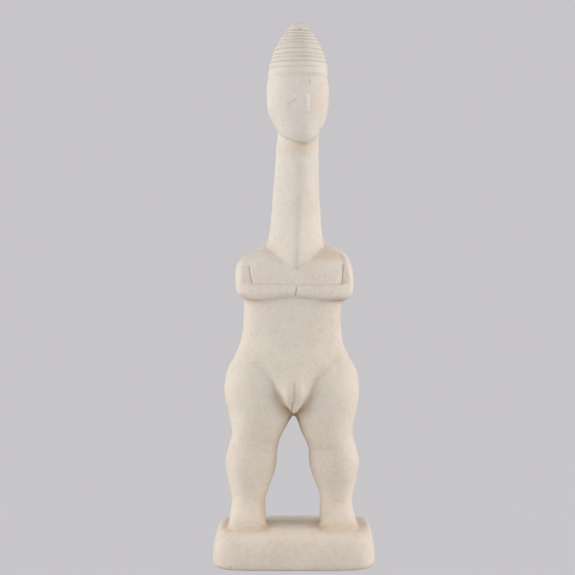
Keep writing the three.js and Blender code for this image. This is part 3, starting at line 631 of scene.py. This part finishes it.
def wrapped(values, xs, ys, zs):
    """Points and four-sided faces of the surface where the values pass through 0."""
    axes = (xs, ys, zs)
    inside = values < 0
    counts = np.zeros(tuple(n - 1 for n in values.shape), dtype=np.int8)
    for di in (0, 1):
        for dj in (0, 1):
            for dk in (0, 1):
                counts += inside[di:di + counts.shape[0], dj:dj + counts.shape[1], dk:dk + counts.shape[2]]
    cells = np.argwhere((counts > 0) & (counts < 8))
    number = np.full(counts.shape, -1, dtype=np.int64)
    number[tuple(cells.T)] = np.arange(len(cells))
    sums, hits = np.zeros((len(cells), 3)), np.zeros(len(cells))
    for axis in range(3):
        others = [a for a in range(3) if a != axis]
        for da in (0, 1):
            for db in (0, 1):
                start = cells.copy()
                start[:, others[0]] += da
                start[:, others[1]] += db
                end = start.copy()
                end[:, axis] += 1
                v0, v1 = values[tuple(start.T)], values[tuple(end.T)]
                crossed = (v0 < 0) != (v1 < 0)
                part = np.where(crossed, v0 / np.where(crossed, v0 - v1, 1), 0)
                at = np.stack([axes[a][start[:, a]] for a in range(3)], axis=1)
                at[:, axis] += part * (axes[axis][end[:, axis]] - axes[axis][start[:, axis]])
                sums += at * crossed[:, None]
                hits += crossed
    points = sums / hits[:, None]
    faces = []
    for axis in range(3):
        a, b = (axis + 1) % 3, (axis + 2) % 3
        head = [slice(None)] * 3
        tail = [slice(None)] * 3
        head[axis], tail[axis] = slice(None, -1), slice(1, None)
        edges = np.argwhere(inside[tuple(head)] != inside[tuple(tail)])
        ring = []
        for da, db in ((-1, -1), (0, -1), (0, 0), (-1, 0)):
            cell = edges.copy()
            cell[:, a] += da
            cell[:, b] += db
            ring.append(number[tuple(cell.T)])
        quads = np.stack(ring, axis=1)
        outward = inside[tuple(edges.T)]
        faces.append(np.where(outward[:, None], quads, quads[:, ::-1]))
    return points, np.concatenate(faces)


def surface_slope(field, points):
    """Value and slope of a field at each point."""
    step = 0.12
    value = field(*points.T)
    slope = np.stack([
        (field(*(points + step * axis).T) - field(*(points - step * axis).T)) / (2 * step)
        for axis in np.eye(3)], axis=1)
    return value, slope


def settled(field, points, rounds):
    """Points moved straight onto the surface of a field."""
    for _ in range(rounds):
        value, slope = surface_slope(field, points)
        size = np.maximum(np.sum(slope * slope, axis=1), 0.2)
        move = -(value / size)[:, None] * slope
        reach = np.linalg.norm(move, axis=1)
        points = points + move * np.minimum(1, 0.8 / np.maximum(reach, 1e-6))[:, None]
    return points


def near_lines(points, reach):
    """Which points lie on the front within the reach of an incised line, the nose or a pit."""
    x, y, z = points.T
    near = np.zeros(len(points), dtype=bool)
    for line, half_width, _, _ in INCISED_IN_FRONT.values():
        if half_width < 1:
            near |= line_gap(x, z, line) < half_width + reach
    across, bottom, top, half_width, _ = NOSE
    near |= line_gap(x, z, ((across, bottom), (across, top))) < half_width + reach
    for across, up, radius in PITS:
        near |= np.hypot(x - across, z - up) < radius + reach
    return near & (y < -3)


def refined(points, faces, reach):
    """The same surface with the faces near the fine lines split in four."""
    mesh = bpy.data.meshes.new("refining")
    mesh.from_pydata(points.tolist(), [], faces.tolist() if isinstance(faces, np.ndarray) else faces)
    work = bmesh.new()
    work.from_mesh(mesh)
    bpy.data.meshes.remove(mesh)
    work.verts.ensure_lookup_table()
    near = near_lines(points, reach)
    edges = [e for e in work.edges if near[e.verts[0].index] and near[e.verts[1].index]]
    bmesh.ops.subdivide_edges(work, edges=edges, cuts=1, use_grid_fill=True)
    bmesh.ops.triangulate(work, faces=[f for f in work.faces if len(f.verts) > 4])
    work.verts.index_update()
    points = np.array([v.co for v in work.verts], dtype=np.float64)
    faces = [[v.index for v in f.verts] for f in work.faces]
    work.free()
    return points, faces


def front_of(across, up):
    """Depth at which a line straight back into the figure meets its front, in mm."""
    y = np.arange(-42.0, 0.0, 0.25)
    away = figure_distance(np.full_like(y, across), y, np.full_like(y, up))
    return float(y[np.argmax(away < 0)])


def recess(points, faces, slope):
    """0 in the open to 1 deep in a crease: how much stone stands close around each point, the measure by
    which shade is painted in.
    """
    normal = slope / np.maximum(np.linalg.norm(slope, axis=1), 1e-6)[:, None]
    aside = np.cross(normal, (0.6, 0.0, 0.8))
    aside /= np.maximum(np.linalg.norm(aside, axis=1), 1e-6)[:, None]
    along = np.cross(normal, aside)
    stone = BVHTree.FromPolygons(points.tolist(), faces)
    shut = np.zeros(len(points))
    starts = (points + 0.4 * normal).tolist()
    for n in range(FEELERS):
        rise = (n + 0.5) / FEELERS
        turn = GOLDEN_ANGLE * n
        flat = math.sqrt(1 - rise * rise)
        way = rise * normal + flat * (math.cos(turn) * aside + math.sin(turn) * along)
        hits = [stone.ray_cast(start, line, FEELER_REACH)[3] for start, line in zip(starts, way.tolist())]
        gaps = np.array([FEELER_REACH if gap is None else gap for gap in hits])
        shut += (1 - gaps / FEELER_REACH) * (0.4 + rise)
    shut /= FEELERS * 0.9
    edges = np.array([(face[k - 1], face[k]) for face in faces for k in range(len(face))])
    for _ in range(3):  # evened out over the neighbours
        total, count = shut.copy(), np.ones(len(points))
        np.add.at(total, edges[:, 0], shut[edges[:, 1]])
        np.add.at(count, edges[:, 0], 1)
        shut = total / count
    return shut


def carve(sizes):
    """The finished surface: points in metres, faces, how much warm painted shade (by how recessed each
    point is) and warm marks each point gets, and how dark its cuts are painted.
    """
    xs, ys, zs = carving_grid(sizes.fineness)
    points, faces = wrapped(sampled(xs, ys, zs), xs, ys, zs)
    points = settled(figure_distance, points, 2)
    for reach in (1.4, 0.5):
        points, faces = refined(points, faces, reach)
    points = settled(figure_distance, points, 1)
    chance = np.random.default_rng(7)
    picked = points[chance.choice(len(points), sizes.pits, replace=False)]
    pits = [(across, front_of(across, up), up, radius) for across, up, radius in PITS]
    pits += [(*at, radius) for at, radius in zip(picked, chance.uniform(0.3, 0.55, sizes.pits))]

    def finished(x, y, z):
        return figure_distance(x, y, z) - relief(x, y, z, sizes, pits)

    points = settled(finished, points, 3)
    _, slope = surface_slope(figure_distance, points)
    # Painted shade: the more stone stands close round a point, the more the warm tint darkens it.
    shut = recess(points, faces, slope)
    _, dark = cuts(*points.T, sizes)
    x, y, z = points.T
    # Warmer towards the foot of the block and over the toes.
    warm, top = WARMTH_LOW_ON_BLOCK
    shut += warm * np.clip(1 - z / top, 0, 1)
    warm, up, half_height, across, half_width = WARMTH_OVER_TOES
    at_toes = np.clip(1 - np.abs(z - up) / half_height, 0, 1) * np.clip((-y - 18) / 4, 0, 1)
    shut += warm * at_toes * (np.abs(np.abs(x) - across) < half_width)
    # Painted shade under the chin and elbows, inside the legs and on the lit left cheek; a painted lift of
    # light over the pubis; warm patches by the neck, on the belly and over the toes.
    facing = np.clip(-(y + 2) / 3, 0, 1)
    for across, up, half_width, half_height, warm in WARM_MARKS_AND_PAINTED_SHADE.values():
        shut += warm * facing * np.exp(-(((x - across) / half_width) ** 2) - ((z - up) / half_height) ** 2)
    points[:, 2] = np.maximum(points[:, 2], 0.0)
    return points * MM, faces, shut, dark


def link_or_set(tree, socket, value):
    """Feeds a socket from another node's output, or sets it to a plain value."""
    if isinstance(value, bpy.types.NodeSocket):
        tree.links.new(value, socket)
    else:
        socket.default_value = value


def add_node(tree, kind, inputs=None, **settings):
    """Adds a node, applies its settings, and links or sets its inputs."""
    node = tree.nodes.new(kind)
    for name, value in settings.items():
        setattr(node, name, value)
    for name, value in (inputs or {}).items():
        link_or_set(tree, node.inputs[name], value)
    return node


def limestone_rubbed(colours):
    """Pale fine-grained limestone, carved and rubbed smooth by hand: a matt, chalky face that
    shows its grains and small dark pits close to, with warm painted shade in the creases and
    under overhangs, warm marks, and painted shade in the cut lines."""
    material = bpy.data.materials.new("Limestone, hand-rubbed")
    material.use_nodes = True
    tree = material.node_tree
    tree.nodes.clear()
    per_mm = 1 / MM  # pattern repeats per metre for one per table millimetre
    where = add_node(tree, "ShaderNodeTexCoord").outputs["Object"]

    def noise(size_mm, detail=2.0, roughness=0.5):
        return add_node(tree, "ShaderNodeTexNoise", {
            "Vector": where, "Scale": per_mm / size_mm, "Detail": detail, "Roughness": roughness})

    def ramp(value, low, high, low_out=0.0, high_out=1.0):
        return add_node(tree, "ShaderNodeMapRange", {
            "Value": value, "From Min": low, "From Max": high, "To Min": low_out, "To Max": high_out},
            clamp=True).outputs["Result"]

    def mixed(factor, a, b, blend="MIX"):
        node = add_node(tree, "ShaderNodeMix", data_type="RGBA", blend_type=blend)
        for name, value in (("Factor", factor), ("A", a), ("B", b)):
            link_or_set(tree, node.inputs[name], value)
        return node.outputs["Result"]

    cloud = noise(22.0, 3.0).outputs["Fac"]       # tone drifts over about 20 mm
    mottle = noise(5.0, 4.0, 0.65).outputs["Fac"]  # faint mottling over a few mm
    grain = noise(1.3, 3.0, 0.7).outputs["Fac"]   # grains, drawn about twice their real size
    speck = noise(1.9, 1.0).outputs["Fac"]        # dark specks 0.6 to 1 mm across, a few mm apart
    # Painted shade: how enclosed each point is, with the warm marks added, read from the mesh.
    painted_shade_and_warm_marks = add_node(tree, "ShaderNodeAttribute", attribute_name="recess").outputs["Fac"]
    stone, pale = (*colours.stone, 1), (*colours.pale, 1)
    base = mixed(ramp(cloud, 0.35, 0.7, 0.0, 0.35), stone, pale)
    base = mixed(ramp(grain, 0.52, 0.75, 0.0, 0.5), base, pale)
    base = mixed(ramp(grain, 0.46, 0.25, 0.0, 0.2), base, (*colours.speck, 1))
    base = mixed(ramp(speck, 0.73, 0.79, 0.0, 0.45), base, (*colours.speck, 1))
    base = mixed(ramp(mottle, 0.5, 0.3, 0.0, 0.11), base, (*colours.speck, 1))
    # Painted shade in the cap's grooves, under its rim and in the incised lines, in the dark speck colour.
    line = add_node(tree, "ShaderNodeAttribute", attribute_name="line").outputs["Fac"]
    base = mixed(ramp(line, 0.0, 1.0, 0.0, 0.5), base, (*colours.speck, 1))
    up = add_node(tree, "ShaderNodeSeparateXYZ", {"Vector": where}).outputs["Z"]
    base = mixed(ramp(up, 340 * MM, 60 * MM), base, (*colours.wash, 1), "MULTIPLY")
    # The warm tint multiplied in here is painted shade in creases and under overhangs, with the warm
    # marks.
    base = mixed(ramp(painted_shade_and_warm_marks, 0.05, 0.5, 0.0, 0.75), base, (*colours.shade_and_warm_mark_tint, 1), "MULTIPLY")
    bump = add_node(tree, "ShaderNodeBump", {"Height": grain, "Strength": 0.35, "Distance": 0.15 * MM})
    pitted = add_node(tree, "ShaderNodeBump", {
        "Height": ramp(speck, 0.68, 0.76, 1.0, 0.0), "Strength": 0.5, "Distance": 0.3 * MM,
        "Normal": bump.outputs["Normal"]})
    shader = add_node(tree, "ShaderNodeBsdfPrincipled", {
        "Base Color": base, "Roughness": ramp(grain, 0.3, 0.7, 0.72, 0.86), "IOR": 1.5,
        "Specular IOR Level": 0.25, "Normal": pitted.outputs["Normal"]})
    add_node(tree, "ShaderNodeOutputMaterial", {"Surface": shader.outputs["BSDF"]})
    return material


def backdrop_paper(look):
    """Matt pale grey paper, evenly lit, so that it falls into no shade behind the figurine."""
    material = bpy.data.materials.new("Backdrop paper, matt")
    material.use_nodes = True
    tree = material.node_tree
    tree.nodes.clear()
    glow = add_node(tree, "ShaderNodeEmission", {"Color": (*look.backdrop, 1), "Strength": BACKDROP_GLOW})
    shade = [c * BACKDROP_SHADE for c in look.backdrop]
    paper = add_node(tree, "ShaderNodeBsdfDiffuse", {"Color": (*shade, 1)})
    both = add_node(tree, "ShaderNodeAddShader")
    tree.links.new(glow.outputs[0], both.inputs[0])
    tree.links.new(paper.outputs[0], both.inputs[1])
    add_node(tree, "ShaderNodeOutputMaterial", {"Surface": both.outputs[0]})
    return material


class FIGURINE_OT_carve(bpy.types.Operator):
    """Carve the figurine and its block as one piece of stone"""

    bl_idname = "figurine.carve"
    bl_label = "Carve Figurine"

    def execute(self, context):
        scene = context.scene
        points, faces, shut, dark = carve(scene.figurine_sizes)
        mesh = bpy.data.meshes.new("standing_figurine")
        mesh.from_pydata(points.tolist(), [], faces)
        mesh.update()
        mesh.shade_smooth()
        # Painted shade and warm marks for the stone's material: how recessed each point is, and how dark
        # its cuts are painted.
        mesh.attributes.new("recess", "FLOAT", "POINT").data.foreach_set("value", shut)
        mesh.attributes.new("line", "FLOAT", "POINT").data.foreach_set("value", dark)
        mesh.materials.append(limestone_rubbed(scene.figurine_colours))
        piece = bpy.data.objects.new("standing_figurine", mesh)
        scene.collection.objects.link(piece)
        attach(piece, "root")
        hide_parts("figurine")
        return {"FINISHED"}


class FIGURINE_OT_stage(bpy.types.Operator):
    """Set up the backdrop, the lights and the camera"""

    bl_idname = "figurine.stage"
    bl_label = "Set Stage"

    def execute(self, context):
        scene = context.scene
        look = scene.figurine_stage
        self.backdrop(scene, look)
        for name, place, size, power, colour in (
                ("left softbox", (-1.15, -0.25, 0.35), (1.0, 1.4), look.side_power, SOFT_WHITE),
                ("right softbox", (1.15, -0.25, 0.35), (1.0, 1.4), look.side_power, WARM_WHITE),
                ("front softbox", (0.0, -1.85, 0.62), (1.8, 1.2), look.front_power, PLAIN_WHITE),
                ("back softbox", (0.0, 1.9, 1.0), (1.6, 1.0), look.back_power, CREAM_WHITE),
                ("top softbox", (0.0, -0.2, 1.6), (1.2, 1.0), look.top_power, CREAM_WHITE)):
            self.softbox(scene, name, place, size, power, colour)
        world = bpy.data.worlds.new("Even studio light")
        world.use_nodes = True
        world.node_tree.nodes["Background"].inputs["Color"].default_value = (0.98, 0.98, 1.0, 1)
        world.node_tree.nodes["Background"].inputs["Strength"].default_value = look.ambient
        scene.world = world
        scene.view_settings.view_transform = "Standard"
        self.camera(scene)
        return {"FINISHED"}

    def backdrop(self, scene, look):
        """A round floor that curves up into a wall on every side."""
        floor_radius, curve, wall_top, sides, steps = 1.7, 1.2, 4.0, 96, 12
        profile = [(0.0, 0.0)]
        for step in range(steps + 1):
            angle = math.pi / 2 * step / steps
            profile.append((floor_radius + curve * math.sin(angle), curve * (1 - math.cos(angle))))
        profile.append((floor_radius + curve, wall_top))
        points = [(0.0, 0.0, 0.0)]
        for radius, height in profile[1:]:
            for n in range(sides):
                turn = 2 * math.pi * n / sides
                points.append((radius * math.cos(turn), radius * math.sin(turn), height))
        faces = [(0, 1 + n, 1 + (n + 1) % sides) for n in range(sides)]
        for ring in range(len(profile) - 2):
            for n in range(sides):
                a, b = 1 + ring * sides + n, 1 + ring * sides + (n + 1) % sides
                faces.append((a, a + sides, b + sides, b))
        mesh = bpy.data.meshes.new("backdrop")
        mesh.from_pydata(points, [], faces)
        mesh.shade_smooth()
        mesh.materials.append(backdrop_paper(look))
        sweep = bpy.data.objects.new("backdrop", mesh)
        sweep.visible_diffuse = False
        sweep.visible_shadow = False
        scene.collection.objects.link(sweep)

    def softbox(self, scene, name, place, size, power, colour):
        """A soft rectangular light at a place, turned towards the middle of the figure."""
        light = bpy.data.lights.new(name, "AREA")
        light.shape = "RECTANGLE"
        light.size, light.size_y = size
        light.energy = power
        light.color = colour
        lamp = bpy.data.objects.new(name, light)
        lamp.location = place
        aim = Vector(LIT_POINT) - Vector(place)
        lamp.rotation_euler = aim.to_track_quat("-Z", "Y").to_euler()
        scene.collection.objects.link(lamp)

    def camera(self, scene):
        """A long lens at about two thirds of the figure's height, tipped slightly down."""
        view = bpy.data.cameras.new("camera")
        view.lens, view.sensor_width = LENS
        camera = bpy.data.objects.new("camera", view)
        camera.location = [along * MM for along in LENS_PLACE]
        camera.rotation_euler = (math.radians(90 - LENS_TILT), 0, 0)
        scene.collection.objects.link(camera)
        scene.camera = camera


class FIGURINE_PT_panel(bpy.types.Panel):
    """Lists the figurine's steps and settings"""

    bl_label = "Stone Figurine"
    bl_idname = "FIGURINE_PT_panel"
    bl_space_type = "VIEW_3D"
    bl_region_type = "UI"
    bl_category = "Figurine"

    def draw(self, context):
        scene = context.scene
        for group, operator in ((scene.figurine_sizes, None), (scene.figurine_colours, "figurine.carve"),
                                (scene.figurine_stage, "figurine.stage")):
            for name in group.__annotations__:
                self.layout.prop(group, name)
            if operator:
                self.layout.operator(operator)


CLASSES = (FigurineSizes, StoneColours, StageLook, FIGURINE_OT_carve, FIGURINE_OT_stage, FIGURINE_PT_panel)


def register():
    for cls in CLASSES:
        bpy.utils.register_class(cls)
    bpy.types.Scene.figurine_sizes = bpy.props.PointerProperty(type=FigurineSizes)
    bpy.types.Scene.figurine_colours = bpy.props.PointerProperty(type=StoneColours)
    bpy.types.Scene.figurine_stage = bpy.props.PointerProperty(type=StageLook)


def unregister():
    del bpy.types.Scene.figurine_stage
    del bpy.types.Scene.figurine_colours
    del bpy.types.Scene.figurine_sizes
    for cls in reversed(CLASSES):
        bpy.utils.unregister_class(cls)


def main():
    register()
    bpy.ops.figurine.carve()
    bpy.ops.figurine.stage()


if __name__ == "__main__":
    main()
